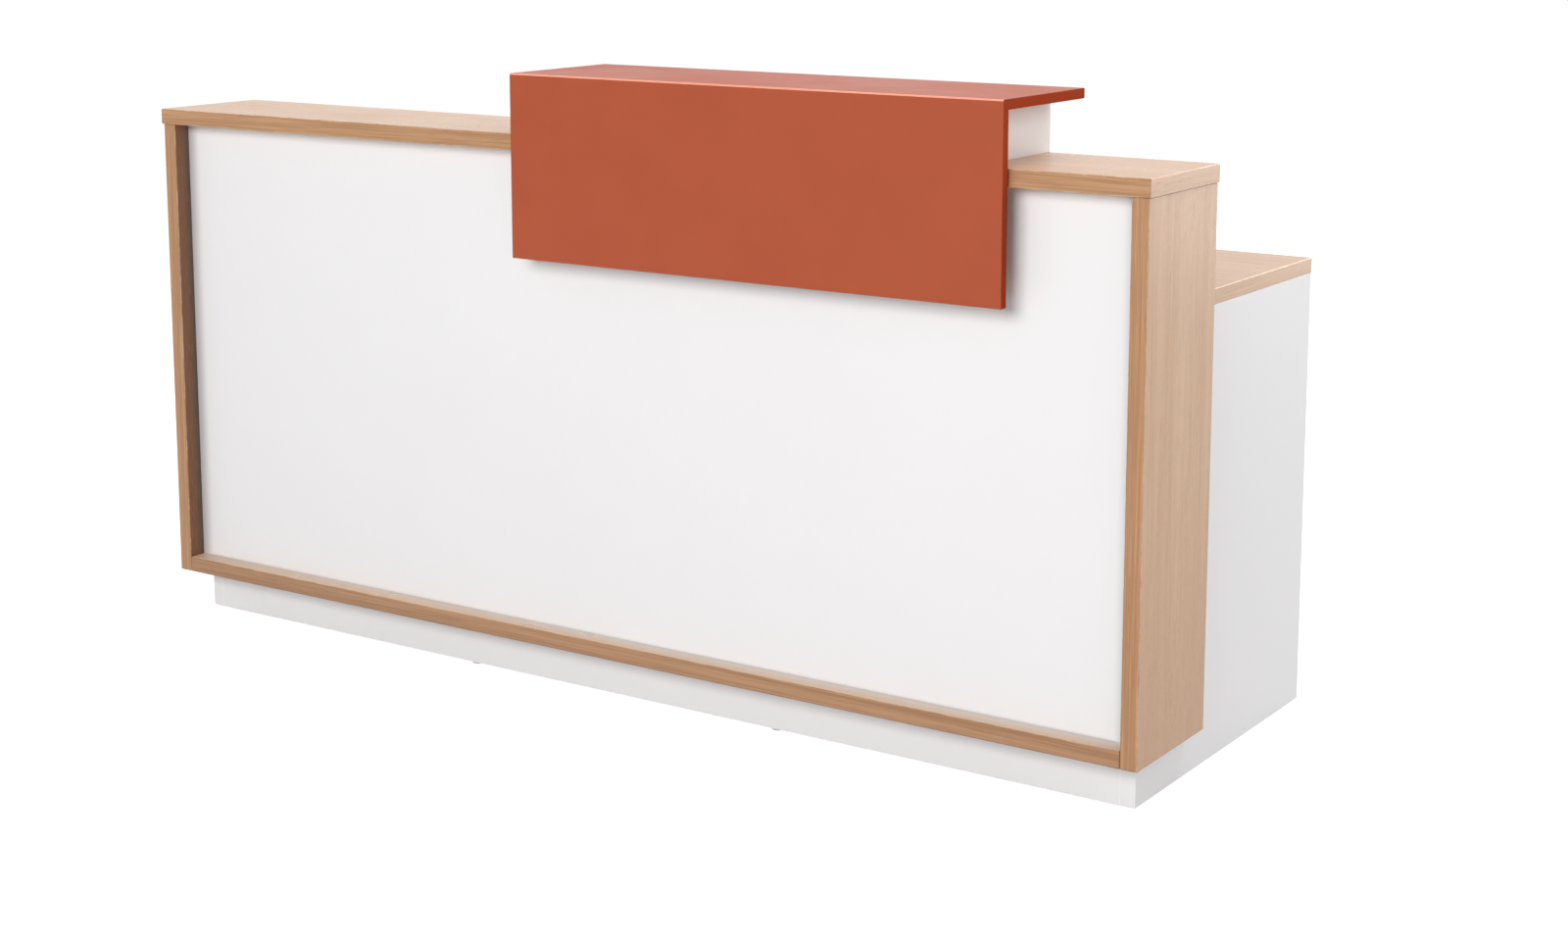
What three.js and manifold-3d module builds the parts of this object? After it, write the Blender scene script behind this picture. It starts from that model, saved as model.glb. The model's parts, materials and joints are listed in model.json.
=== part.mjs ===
// Reception desk: a wooden box frame round a recessed white front panel, a white plinth and end panels,
// a lower worktop for the receptionist and a raised terracotta shelf folded down over the visitor's side.
// Millimetres, +Z up. The visitor stands on the -Y side and +X is to the visitor's right.
// Places are counted from the middle of the frame's front face on the floor, and the whole desk is
// then moved so that the origin is below the middle of its bounding box.

import * as THREE from 'three';
import { mergeVertices } from 'three/addons/utils/BufferGeometryUtils.js';
import Module from 'manifold-3d';

const wasm = await Module();
wasm.setup();

// Driving dimensions: the wooden frame
const COUNTER_WIDTH = 2000;
const COUNTER_HEIGHT = 956;
const COUNTER_OVERHANG = 3;
const FRAME_BOARD = 28;
const FRAME_DEPTH = 232;
const FRAME_LIFT = 82;

// Driving dimensions: the white carcass
const FLOOR_GAP = 4;
const PANEL_RECESS = 33;
const PANEL_BOARD = 22;
const END_BOARD = 25;
const END_REAR = 678;
const PLINTH_BOARD = 22;
const PLINTH_TOP = 150;

// Driving dimensions: the worktop and the steel that carries it
const WORKTOP_HEIGHT = 757;
const WORKTOP_BOARD = 25;
const WORKTOP_REAR = 681;
const BEAM_WIDTH = 40;
const BEAM_HEIGHT = 25;
const BEAM_WALL = 2;
const BEAM_FRONT = 560;
const BEAM_BEND = { outer: 3, inner: 1 };
const BEAM_PLATE = { thickness: 4, width: 70, height: 58, holeInset: 7 };
const BRACKET = { leg: 42, width: 60, steel: 3, bend: 4, holeSpacing: 32, holeFromCorner: 26 };
const BRACKET_PLACES = [-780, -260, 260, 780];
const SCREW_HOLE_RADIUS = 2.75;

// Driving dimensions: the raised shelf and its riser
const SHELF_BOARD = 16;
const SHELF_LEFT = -149;
const SHELF_WIDTH = 923;
const SHELF_HEIGHT = 1058;
const FASCIA_DROP = 307;
const FASCIA_GAP = 5;
const FOLD_RADIUS = 2.5;
const RISER_BOARD = 18;
const RISER_INSET = 58;

// Driving dimensions: the cable grommets in the worktop
const GROMMET_PLACES = { left: -520, right: 520 };
const GROMMET_BACK = 160;
const GROMMET_BORE = 27;
const GROMMET_WALL = 3;
const GROMMET_FLANGE = { radius: 37, rise: 3, seatRadius: 32, seatRise: 1 };
const GROMMET_CAP = { thickness: 2, skirt: 9, skirtWall: 2, notchWidth: 17, notchReach: 14 };

// Driving dimensions: the screw-in levelling feet
const FOOT_PAD_RADIUS = 9;
const FOOT_STEM_RADIUS = 4;
const FOOT_STEM_TOP = 28;
const FOOT_SOCKET = { radius: 6, top: 34, bore: 4.3, boreTop: 32, flangeRadius: 8, flange: 1.5 };
const FOOT_END_PLACES = { front: 110, rear: 620 };
const FOOT_PLINTH_PLACE = 320;

// Small sizes that every piece shares
const EASE = 1.5;
const END_EASE = 1;
const THIN_EASE = 0.75;
const THIN_END_EASE = 0.5;
const CLEARANCE = 0.3;
const DRILL_PAST = 1;
const ROUND = 24;
const SMALL_ROUND = 12;

// Places that follow from the driving dimensions
const uprightOuter = COUNTER_WIDTH / 2 - COUNTER_OVERHANG;
const uprightInner = uprightOuter - FRAME_BOARD;
const counterUnderside = COUNTER_HEIGHT - FRAME_BOARD;
const railTop = FRAME_LIFT + FRAME_BOARD;
const panelBack = PANEL_RECESS + PANEL_BOARD;
const endInner = uprightInner - END_BOARD;
const worktopUnderside = WORKTOP_HEIGHT - WORKTOP_BOARD;
const shelfRight = SHELF_LEFT + SHELF_WIDTH;
const shelfUnderside = SHELF_HEIGHT - SHELF_BOARD;
const fasciaBack = -COUNTER_OVERHANG - FASCIA_GAP;
const fasciaFront = fasciaBack - SHELF_BOARD;
const fasciaBottom = SHELF_HEIGHT - FASCIA_DROP;
const depthCentre = (fasciaFront + WORKTOP_REAR) / 2;

// Finishes
const finish = {
  oak: { color: 0xcfa985, roughness: 0.5, metalness: 0 },
  white: { color: 0xeeeeec, roughness: 0.45, metalness: 0 },
  terracotta: { color: 0xb05b3f, roughness: 0.5, metalness: 0 },
  steel: { color: 0xb4b6b8, roughness: 0.4, metalness: 0.8 },
  greyPlastic: { color: 0xbfc1c2, roughness: 0.55, metalness: 0 },
  whiteNylon: { color: 0xdcdbd9, roughness: 0.55, metalness: 0 },
};

const desk = new THREE.Group();
desk.position.y = -depthCentre;

function addPiece(parent, name, geometry, look) {
  const piece = new THREE.Mesh(geometry, new THREE.MeshStandardMaterial(look));
  piece.name = name;
  parent.add(piece);
  return piece;
}

// A closed surface: shared corners merged and flat slivers at a revolve's poles left out.
function closed(geometry) {
  const bare = geometry.clone();
  bare.deleteAttribute('normal');
  bare.deleteAttribute('uv');
  bare.clearGroups();
  const merged = mergeVertices(bare);
  const corners = merged.index.array;
  const kept = [];
  for (let i = 0; i < corners.length; i += 3) {
    const [a, b, c] = [corners[i], corners[i + 1], corners[i + 2]];
    if (a !== b && b !== c && c !== a) {
      kept.push(a, b, c);
    }
  }
  merged.setIndex(kept);
  return merged;
}

function toSolid(geometry) {
  const surface = closed(geometry);
  return new wasm.Manifold(new wasm.Mesh({
    numProp: 3,
    vertProperties: new Float32Array(surface.attributes.position.array),
    triVerts: new Uint32Array(surface.index.array),
  }));
}

function toGeometry(solid) {
  const { vertProperties, triVerts } = solid.getMesh();
  const geometry = new THREE.BufferGeometry();
  geometry.setAttribute('position', new THREE.BufferAttribute(vertProperties, 3));
  geometry.setIndex(new THREE.BufferAttribute(triVerts, 1));
  return geometry;
}

function cut(geometry, tools) {
  const solid = tools.reduce((body, tool) => body.subtract(toSolid(tool)), toSolid(geometry));
  return toGeometry(solid);
}

function join(geometries) {
  const [first, ...others] = geometries.map(toSolid);
  return toGeometry(others.reduce((body, other) => body.add(other), first));
}

// Turns that bring a section drawn in (Y, Z) and extruded onto X, and a revolve's axis onto Z
const sectionToX = new THREE.Matrix4().makeBasis(
  new THREE.Vector3(0, 1, 0),
  new THREE.Vector3(0, 0, 1),
  new THREE.Vector3(1, 0, 0),
);
const axisToZ = new THREE.Matrix4().makeBasis(
  new THREE.Vector3(1, 0, 0),
  new THREE.Vector3(0, 0, 1),
  new THREE.Vector3(0, -1, 0),
);

function extrudeAlongX(section, from, to, endEase) {
  const geometry = new THREE.ExtrudeGeometry(section, {
    depth: to - from - 2 * endEase,
    bevelEnabled: endEase > 0,
    bevelThickness: endEase,
    bevelSize: endEase,
    bevelOffset: -endEase,
    bevelSegments: 1,
    curveSegments: 1,
  });
  geometry.translate(0, 0, from + endEase);
  return closed(geometry.applyMatrix4(sectionToX));
}

function revolve(profile, segments = ROUND) {
  const points = profile.map(([radius, height]) => new THREE.Vector2(radius, height));
  return closed(new THREE.LatheGeometry(points, segments).applyMatrix4(axisToZ));
}

function uprightCylinder(radius, bottom, top, segments = ROUND) {
  const geometry = new THREE.CylinderGeometry(radius, radius, top - bottom, segments);
  return geometry.applyMatrix4(axisToZ).translate(0, 0, (bottom + top) / 2);
}

function roundedRectangle([left, right], [low, high], radius, Outline = THREE.Shape) {
  const quarter = Math.PI / 2;
  return new Outline()
    .moveTo(left + radius, low)
    .lineTo(right - radius, low)
    .absarc(right - radius, low + radius, radius, -quarter, 0)
    .lineTo(right, high - radius)
    .absarc(right - radius, high - radius, radius, 0, quarter)
    .lineTo(left + radius, high)
    .absarc(left + radius, high - radius, radius, quarter, 2 * quarter)
    .lineTo(left, low + radius)
    .absarc(left + radius, low + radius, radius, 2 * quarter, 3 * quarter);
}

// A flat board with eased edges between two planes in each direction
function board(across, deep, high, ease = EASE, endEase = END_EASE) {
  return extrudeAlongX(roundedRectangle(deep, high, ease), across[0], across[1], endEase);
}

function whiteBoard(across, deep, high) {
  return board(across, deep, high, THIN_EASE, THIN_END_EASE);
}

// The wooden box frame: slab on two uprights, with a rail butted between their feet
function buildFrame() {
  const frame = new THREE.Group();
  const half = COUNTER_WIDTH / 2;
  const counter = board([-half, half], [-COUNTER_OVERHANG, FRAME_DEPTH], [counterUnderside, COUNTER_HEIGHT]);
  addPiece(frame, 'counter_top', counter, finish.oak);
  const standing = [FRAME_LIFT, counterUnderside];
  const left = board([-uprightOuter, -uprightInner], [0, FRAME_DEPTH], standing);
  addPiece(frame, 'upright_left', left, finish.oak);
  const right = board([uprightInner, uprightOuter], [0, FRAME_DEPTH], standing);
  addPiece(frame, 'upright_right', right, finish.oak);
  const rail = board([-uprightInner, uprightInner], [0, panelBack], [FRAME_LIFT, railTop]);
  addPiece(frame, 'bottom_rail', rail, finish.oak);
  return frame;
}

// The bore that takes a foot's socket, cut up into the bottom edge of a board
function socketBore(x, y) {
  const barrel = uprightCylinder(FOOT_SOCKET.radius + CLEARANCE, 0, FOOT_SOCKET.top + CLEARANCE);
  const flangeTop = FLOOR_GAP + FOOT_SOCKET.flange + CLEARANCE;
  const flange = uprightCylinder(FOOT_SOCKET.flangeRadius + CLEARANCE, 0, flangeTop);
  return toGeometry(toSolid(barrel).add(toSolid(flange))).translate(x, y, 0);
}

const endFootX = (uprightInner + endInner) / 2;
const plinthFootY = panelBack + PLINTH_BOARD / 2;
const footPlaces = {
  front_left: [-endFootX, FOOT_END_PLACES.front],
  rear_left: [-endFootX, FOOT_END_PLACES.rear],
  plinth_left: [-FOOT_PLINTH_PLACE, plinthFootY],
  plinth_right: [FOOT_PLINTH_PLACE, plinthFootY],
  front_right: [endFootX, FOOT_END_PLACES.front],
  rear_right: [endFootX, FOOT_END_PLACES.rear],
};

function boresUnder(names) {
  return names.map((name) => socketBore(...footPlaces[name]));
}

// The white boards: recessed front panel, plinth, and the end panels that carry the worktop
function buildCarcass() {
  const carcass = new THREE.Group();
  const frameWidth = [-uprightInner, uprightInner];
  const panel = whiteBoard(frameWidth, [PANEL_RECESS, panelBack], [railTop, counterUnderside]);
  addPiece(carcass, 'front_panel', panel, finish.white);
  const plinthDeep = [panelBack, panelBack + PLINTH_BOARD];
  const plinth = whiteBoard([-endInner, endInner], plinthDeep, [FLOOR_GAP, PLINTH_TOP]);
  const plinthBores = boresUnder(['plinth_left', 'plinth_right']);
  addPiece(carcass, 'plinth', cut(plinth, plinthBores), finish.white);
  const standing = [FLOOR_GAP, worktopUnderside];
  const left = whiteBoard([-uprightInner, -endInner], [panelBack, END_REAR], standing);
  const leftBores = boresUnder(['front_left', 'rear_left']);
  addPiece(carcass, 'end_panel_left', cut(left, leftBores), finish.white);
  const right = whiteBoard([endInner, uprightInner], [panelBack, END_REAR], standing);
  const rightBores = boresUnder(['front_right', 'rear_right']);
  addPiece(carcass, 'end_panel_right', cut(right, rightBores), finish.white);
  return carcass;
}

// The receptionist's worktop, bored for its two cable grommets
function buildWorktop() {
  const high = [worktopUnderside, WORKTOP_HEIGHT];
  const top = board([-uprightInner, uprightInner], [panelBack, WORKTOP_REAR], high);
  const sleeveRadius = GROMMET_BORE + GROMMET_WALL + CLEARANCE;
  const hole = uprightCylinder(sleeveRadius, high[0] - DRILL_PAST, high[1] + DRILL_PAST);
  const holes = Object.values(GROMMET_PLACES).map((x) => hole.clone().translate(x, GROMMET_BACK, 0));
  const worktop = new THREE.Group();
  addPiece(worktop, 'worktop', cut(top, holes), finish.oak);
  return worktop;
}

// A pressed steel angle: one leg under a board, the other down the back of the front panel, with its
// outer corner at the origin and two screw holes in each leg
function bracketGeometry() {
  const { leg, width, steel, bend, holeSpacing, holeFromCorner } = BRACKET;
  const quarter = Math.PI / 2;
  const section = new THREE.Shape()
    .moveTo(leg, 0)
    .lineTo(bend, 0)
    .absarc(bend, -bend, bend, quarter, 2 * quarter)
    .lineTo(0, -leg)
    .lineTo(steel, -leg)
    .lineTo(steel, -bend)
    .absarc(bend, -bend, bend - steel, 2 * quarter, quarter, true)
    .lineTo(leg, -steel);
  const holes = [];
  for (const side of [-1, 1]) {
    const down = uprightCylinder(SCREW_HOLE_RADIUS, -leg, leg, SMALL_ROUND);
    const through = down.clone().rotateX(quarter);
    holes.push(down.translate(side * holeSpacing / 2, holeFromCorner, 0));
    holes.push(through.translate(side * holeSpacing / 2, 0, -holeFromCorner));
  }
  return cut(extrudeAlongX(section, -width / 2, width / 2, 0), holes);
}

function addBrackets(parent, family, height) {
  BRACKET_PLACES.forEach((x, index) => {
    const bracket = addPiece(parent, `${family}_${index + 1}`, bracketGeometry(), finish.steel);
    bracket.position.set(x, panelBack, height);
  });
}

// The square-tube beam under the worktop's free edge and the plates that screw it to the end panels
function buildBeam() {
  const beam = new THREE.Group();
  const beamEnd = endInner - BEAM_PLATE.thickness;
  const deep = [BEAM_FRONT, BEAM_FRONT + BEAM_WIDTH];
  const high = [worktopUnderside - BEAM_HEIGHT, worktopUnderside];
  const section = roundedRectangle(deep, high, BEAM_BEND.outer);
  const boreDeep = [deep[0] + BEAM_WALL, deep[1] - BEAM_WALL];
  const boreHigh = [high[0] + BEAM_WALL, high[1] - BEAM_WALL];
  section.holes.push(roundedRectangle(boreDeep, boreHigh, BEAM_BEND.inner, THREE.Path));
  addPiece(beam, 'worktop_beam', extrudeAlongX(section, -beamEnd, beamEnd, 0), finish.steel);

  const middle = BEAM_FRONT + BEAM_WIDTH / 2;
  const plateDeep = [middle - BEAM_PLATE.width / 2, middle + BEAM_PLATE.width / 2];
  const plateHigh = [worktopUnderside - BEAM_PLATE.height, worktopUnderside];
  const drill = new THREE.CylinderGeometry(SCREW_HOLE_RADIUS, SCREW_HOLE_RADIUS, COUNTER_WIDTH, SMALL_ROUND);
  drill.rotateZ(Math.PI / 2);
  const holes = [];
  for (const y of [plateDeep[0] + BEAM_PLATE.holeInset, plateDeep[1] - BEAM_PLATE.holeInset]) {
    for (const z of [plateHigh[0] + BEAM_PLATE.holeInset, plateHigh[1] - 2 * BEAM_PLATE.holeInset]) {
      holes.push(drill.clone().translate(0, y, z));
    }
  }
  const leftPlate = board([-endInner, -beamEnd], plateDeep, plateHigh, THIN_EASE, THIN_END_EASE);
  addPiece(beam, 'beam_plate_left', cut(leftPlate, holes), finish.steel);
  const rightPlate = board([beamEnd, endInner], plateDeep, plateHigh, THIN_EASE, THIN_END_EASE);
  addPiece(beam, 'beam_plate_right', cut(rightPlate, holes), finish.steel);
  return beam;
}

// The raised shelf: a top board and a hanging fascia that meet in a mitre under a softly rounded fold.
// The mitre runs from the middle of the fold's round to the inner corner.
function buildShelf() {
  const shelf = new THREE.Group();
  const ease = END_EASE;
  const foldCentre = [fasciaFront + FOLD_RADIUS, SHELF_HEIGHT - FOLD_RADIUS];
  const halfWay = FOLD_RADIUS * Math.SQRT1_2;
  const foldMiddle = [foldCentre[0] - halfWay, foldCentre[1] + halfWay];
  const mitreInner = [fasciaBack, shelfUnderside];
  const top = new THREE.Shape()
    .moveTo(...mitreInner)
    .lineTo(FRAME_DEPTH - ease, shelfUnderside)
    .lineTo(FRAME_DEPTH, shelfUnderside + ease)
    .lineTo(FRAME_DEPTH, SHELF_HEIGHT - ease)
    .lineTo(FRAME_DEPTH - ease, SHELF_HEIGHT)
    .lineTo(foldCentre[0], SHELF_HEIGHT)
    .lineTo(...foldMiddle);
  const fascia = new THREE.Shape()
    .moveTo(...foldMiddle)
    .lineTo(fasciaFront, foldCentre[1])
    .lineTo(fasciaFront, fasciaBottom + ease)
    .lineTo(fasciaFront + ease, fasciaBottom)
    .lineTo(fasciaBack - ease, fasciaBottom)
    .lineTo(fasciaBack, fasciaBottom + ease)
    .lineTo(...mitreInner);
  for (const [name, section] of Object.entries({ shelf_top: top, shelf_fascia: fascia })) {
    const geometry = extrudeAlongX(section, SHELF_LEFT, shelfRight, THIN_END_EASE);
    addPiece(shelf, name, geometry, finish.terracotta);
  }
  return shelf;
}

// The white riser that stands on the counter and carries the shelf: two sides and a front, open behind
function buildRiser() {
  const riser = new THREE.Group();
  const standing = [COUNTER_HEIGHT, shelfUnderside];
  const deep = [-COUNTER_OVERHANG, FRAME_DEPTH];
  const left = SHELF_LEFT + RISER_INSET;
  const right = shelfRight - RISER_INSET;
  addPiece(riser, 'riser_left', whiteBoard([left, left + RISER_BOARD], deep, standing), finish.white);
  addPiece(riser, 'riser_right', whiteBoard([right - RISER_BOARD, right], deep, standing), finish.white);
  const between = [left + RISER_BOARD, right - RISER_BOARD];
  const front = whiteBoard(between, [deep[0], deep[0] + RISER_BOARD], standing);
  addPiece(riser, 'riser_front', front, finish.white);
  return riser;
}

// A cable grommet's sleeve: a tube through the worktop under a low flange with a seat for the cap
function sleeveGeometry() {
  const { radius, rise, seatRadius, seatRise } = GROMMET_FLANGE;
  const outer = GROMMET_BORE + GROMMET_WALL;
  return revolve([
    [GROMMET_BORE, -WORKTOP_BOARD],
    [outer, -WORKTOP_BOARD],
    [outer, CLEARANCE],
    [radius, CLEARANCE],
    [radius, rise / 2],
    [radius - rise / 2, rise],
    [seatRadius, rise],
    [seatRadius, seatRise],
    [GROMMET_BORE, seatRise],
    [GROMMET_BORE, -WORKTOP_BOARD],
  ]);
}

// The cap: a dished disc with a locating skirt, notched at its front edge to let cables through
function capGeometry() {
  const { thickness, skirt, skirtWall, notchWidth, notchReach } = GROMMET_CAP;
  const discRadius = GROMMET_FLANGE.seatRadius - CLEARANCE;
  const skirtRadius = GROMMET_BORE - CLEARANCE;
  const under = GROMMET_FLANGE.seatRise + CLEARANCE;
  const top = under + thickness;
  const disc = revolve([
    [0, under],
    [skirtRadius - skirtWall, under],
    [skirtRadius - skirtWall, under - skirt],
    [skirtRadius, under - skirt],
    [skirtRadius, under],
    [discRadius, under],
    [discRadius, top - END_EASE],
    [discRadius - END_EASE, top],
    [0, top],
  ]);
  const half = notchWidth / 2;
  const outline = new THREE.Shape()
    .moveTo(-half, -GROMMET_FLANGE.radius)
    .lineTo(half, -GROMMET_FLANGE.radius)
    .lineTo(half, -notchReach - half)
    .absarc(0, -notchReach - half, half, 0, Math.PI)
    .lineTo(-half, -GROMMET_FLANGE.radius);
  const notch = new THREE.ExtrudeGeometry(outline, {
    depth: 2 * (skirt + thickness),
    bevelEnabled: false,
    curveSegments: 4,
  });
  notch.translate(0, 0, under - skirt - thickness);
  return cut(disc, [notch]);
}

function buildGrommet(side) {
  const grommet = new THREE.Group();
  grommet.position.set(GROMMET_PLACES[side], GROMMET_BACK, WORKTOP_HEIGHT);
  addPiece(grommet, `grommet_sleeve_${side}`, sleeveGeometry(), finish.greyPlastic);
  addPiece(grommet, `grommet_cap_${side}`, capGeometry(), finish.greyPlastic);
  return grommet;
}

// A levelling foot's threaded socket: a blind flanged cup let into a board's bottom edge
function socketGeometry() {
  const { radius, top, bore, boreTop, flangeRadius, flange } = FOOT_SOCKET;
  return revolve([
    [0, boreTop],
    [bore, boreTop],
    [bore, FLOOR_GAP],
    [flangeRadius, FLOOR_GAP],
    [flangeRadius, FLOOR_GAP + flange],
    [radius, FLOOR_GAP + flange],
    [radius, top],
    [0, top],
  ]);
}

// The foot itself: a round pad with an eased rim, a hexagon to turn it by and its screw stem
function footGeometry() {
  const padTop = FLOOR_GAP - CLEARANCE;
  const rim = padTop / 2;
  const pad = revolve([
    [0, 0],
    [FOOT_PAD_RADIUS - END_EASE, 0],
    [FOOT_PAD_RADIUS, END_EASE],
    [FOOT_PAD_RADIUS, rim],
    [0, rim],
  ]);
  const hexagon = uprightCylinder(FOOT_SOCKET.flangeRadius, END_EASE, padTop, 6);
  const stem = revolve([
    [0, END_EASE],
    [FOOT_STEM_RADIUS, END_EASE],
    [FOOT_STEM_RADIUS, FOOT_STEM_TOP - END_EASE],
    [FOOT_STEM_RADIUS - END_EASE, FOOT_STEM_TOP],
    [0, FOOT_STEM_TOP],
  ], SMALL_ROUND);
  return join([pad, hexagon, stem]);
}

function buildFeet() {
  const feet = new THREE.Group();
  for (const [name, [x, y]] of Object.entries(footPlaces)) {
    addPiece(feet, `foot_socket_${name}`, socketGeometry(), finish.steel).position.set(x, y, 0);
    addPiece(feet, `foot_${name}`, footGeometry(), finish.whiteNylon).position.set(x, y, 0);
  }
  return feet;
}

desk.add(buildFrame(), buildCarcass(), buildWorktop(), buildBeam());
addBrackets(desk, 'counter_bracket', counterUnderside);
addBrackets(desk, 'worktop_bracket', worktopUnderside);
desk.add(buildRiser(), buildShelf(), buildGrommet('left'), buildGrommet('right'), buildFeet());

export default desk;
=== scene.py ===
# %% [markdown]
# # A reception desk, finished in Blender
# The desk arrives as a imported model: every board, bracket and foot is already there at its real size.
# This lesson gives each of them its surface, adds the small fasteners that hold them together, and sets
# up a plain studio round the desk. All sizes are in metres, +Z is up, and visitors stand on the -Y side.

# %% Load the frame
import json
import math

import bpy
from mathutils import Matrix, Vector

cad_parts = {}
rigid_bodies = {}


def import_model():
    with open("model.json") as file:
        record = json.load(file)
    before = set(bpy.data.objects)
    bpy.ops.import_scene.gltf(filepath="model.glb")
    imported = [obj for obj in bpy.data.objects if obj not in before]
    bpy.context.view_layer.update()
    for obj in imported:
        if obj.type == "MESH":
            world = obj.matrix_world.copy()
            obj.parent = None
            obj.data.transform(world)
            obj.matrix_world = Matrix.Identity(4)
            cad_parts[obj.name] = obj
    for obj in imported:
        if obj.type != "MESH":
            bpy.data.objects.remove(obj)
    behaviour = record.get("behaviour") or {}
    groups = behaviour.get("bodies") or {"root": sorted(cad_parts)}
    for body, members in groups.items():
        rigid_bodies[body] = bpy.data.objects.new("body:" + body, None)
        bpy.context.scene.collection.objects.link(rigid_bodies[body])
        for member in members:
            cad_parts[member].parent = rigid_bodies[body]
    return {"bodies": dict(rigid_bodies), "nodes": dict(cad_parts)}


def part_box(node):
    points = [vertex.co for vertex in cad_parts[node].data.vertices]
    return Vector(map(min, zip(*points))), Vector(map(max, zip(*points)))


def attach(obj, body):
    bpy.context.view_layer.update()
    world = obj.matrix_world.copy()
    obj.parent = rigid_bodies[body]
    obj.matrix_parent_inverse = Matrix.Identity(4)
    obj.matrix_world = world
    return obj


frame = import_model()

scene = bpy.context.scene
nodes = frame["nodes"]
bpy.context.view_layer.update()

# %% [markdown]
# ## Camera
# The desk is seen from the visitor's right, from a little above the shelf. The upright edges of the desk
# stay almost parallel in such a picture because the photographer kept the camera nearly level and slid the
# lens down. A camera in Blender can do the same with its shift. The slide is kept small here, so that the
# desk stays inside the picture when the same camera is carried round to the other sides.

# %% Camera
CAMERA_PLACE = (2.5177, -3.5329, 1.3662)
CAMERA_DIP = 9.046
CAMERA_TURN = 33.739
CAMERA_LENS = 57.639
CAMERA_SLIDE = -0.12
SENSOR_WIDTH = 36.0

lens = bpy.data.cameras.new("visitor_camera")
lens.sensor_width = SENSOR_WIDTH
lens.lens = CAMERA_LENS
lens.shift_y = CAMERA_SLIDE
camera = bpy.data.objects.new("visitor_camera", lens)
camera.location = CAMERA_PLACE
camera.rotation_euler = (math.radians(90 - CAMERA_DIP), 0, math.radians(CAMERA_TURN))
scene.collection.objects.link(camera)
scene.camera = camera
print(f"camera {camera.location.length:.2f} m from the origin")

# %% [markdown]
# ## Shader helpers
# A material in Blender is a tree of nodes. A few short helpers keep the trees below readable: one feeds a
# socket with either a value or another node, and the others make the nodes that are used most. Most of a
# noise's values lie in the middle, within NOISE_RANGE, so a mask made of it is stretched from there.

# %% Shader helpers
NOISE_RANGE = (0.3, 0.7)


def feed(tree, socket, value):
    """Gives an input a plain value or another node's output."""
    if isinstance(value, bpy.types.NodeSocket):
        tree.links.new(value, socket)
    else:
        socket.default_value = value


def calc(tree, operation, *values, clamp=False):
    """One Math node."""
    made = tree.nodes.new("ShaderNodeMath")
    made.operation = operation
    made.use_clamp = clamp
    for socket, value in zip(made.inputs, values):
        feed(tree, socket, value)
    return made.outputs[0]


def fit(tree, value, low, high, bottom=0.0, top=1.0):
    """Maps low..high smoothly onto bottom..top."""
    made = tree.nodes.new("ShaderNodeMapRange")
    made.interpolation_type = "SMOOTHSTEP"
    for socket, given in zip(made.inputs, (value, low, high, bottom, top)):
        feed(tree, socket, given)
    return made.outputs[0]


def tint(tree, factor, first, second, mode="MIX"):
    """Mixes two colours."""
    made = tree.nodes.new("ShaderNodeMix")
    made.data_type = "RGBA"
    made.blend_type = mode
    for index, value in ((0, factor), (6, first), (7, second)):
        feed(tree, made.inputs[index], value)
    return made.outputs[2]


def noise(tree, vector, scale, detail=2.0, roughness=0.5):
    """A Noise Texture's value."""
    made = tree.nodes.new("ShaderNodeTexNoise")
    for name, value in (("Vector", vector), ("Scale", scale), ("Detail", detail), ("Roughness", roughness)):
        feed(tree, made.inputs[name], value)
    return made.outputs[0]


def combine(tree, x, y, z):
    """A vector from three values."""
    made = tree.nodes.new("ShaderNodeCombineXYZ")
    for socket, value in zip(made.inputs, (x, y, z)):
        feed(tree, socket, value)
    return made.outputs[0]


def separate(tree, vector):
    """The three values of a vector."""
    made = tree.nodes.new("ShaderNodeSeparateXYZ")
    feed(tree, made.inputs[0], vector)
    return made.outputs


def paint(red, green, blue):
    """A colour as on a paint card, 0 to 255, turned into the linear light that shaders work in."""
    return tuple(((value / 255 + 0.055) / 1.055) ** 2.4 for value in (red, green, blue)) + (1.0,)


def new_group(name, inputs, outputs):
    """A shader node group with its named sockets, its input node and its output node."""
    tree = bpy.data.node_groups.new(name, "ShaderNodeTree")
    for label, kind, value in inputs:
        socket = tree.interface.new_socket(label, in_out="INPUT", socket_type=kind)
        if value is not None:
            socket.default_value = value
    for label in outputs:
        tree.interface.new_socket(label, in_out="OUTPUT", socket_type="NodeSocketFloat")
    return tree, tree.nodes.new("NodeGroupInput").outputs, tree.nodes.new("NodeGroupOutput").inputs


def use_group(tree, group, **values):
    """Places a group in a material; a socket's spaces are written as underscores."""
    made = tree.nodes.new("ShaderNodeGroup")
    made.node_tree = group
    for name, value in values.items():
        feed(tree, made.inputs[name.replace("_", " ")], value)
    return made.outputs


print("shader helpers ready")

# %% [markdown]
# ## Studio
# Furniture of this kind is photographed on a white sweep. A white background could be made by lighting the
# floor until it burns out, but the same light would then wash out the white boards. So the floor and the
# world look white to the camera and in reflections, and give off only a plain level of light otherwise.
# The floor still darkens a little where the desk keeps the light from it.

# %% Studio floor and world
FLOOR_HALF = 60.0
FLOOR_GLOW = 0.88
FLOOR_SHADE = 0.42
FLOOR_BOUNCE = paint(194, 193, 192)
AMBIENT = 0.30


def seen_directly(tree):
    """1 for what the camera, a reflection or a clear pane shows, and 0 for light that bounces about."""
    path = tree.nodes.new("ShaderNodeLightPath")
    mirrored = calc(tree, "MAXIMUM", path.outputs["Is Glossy Ray"], path.outputs["Is Transmission Ray"])
    return calc(tree, "MAXIMUM", path.outputs["Is Camera Ray"], mirrored)


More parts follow.
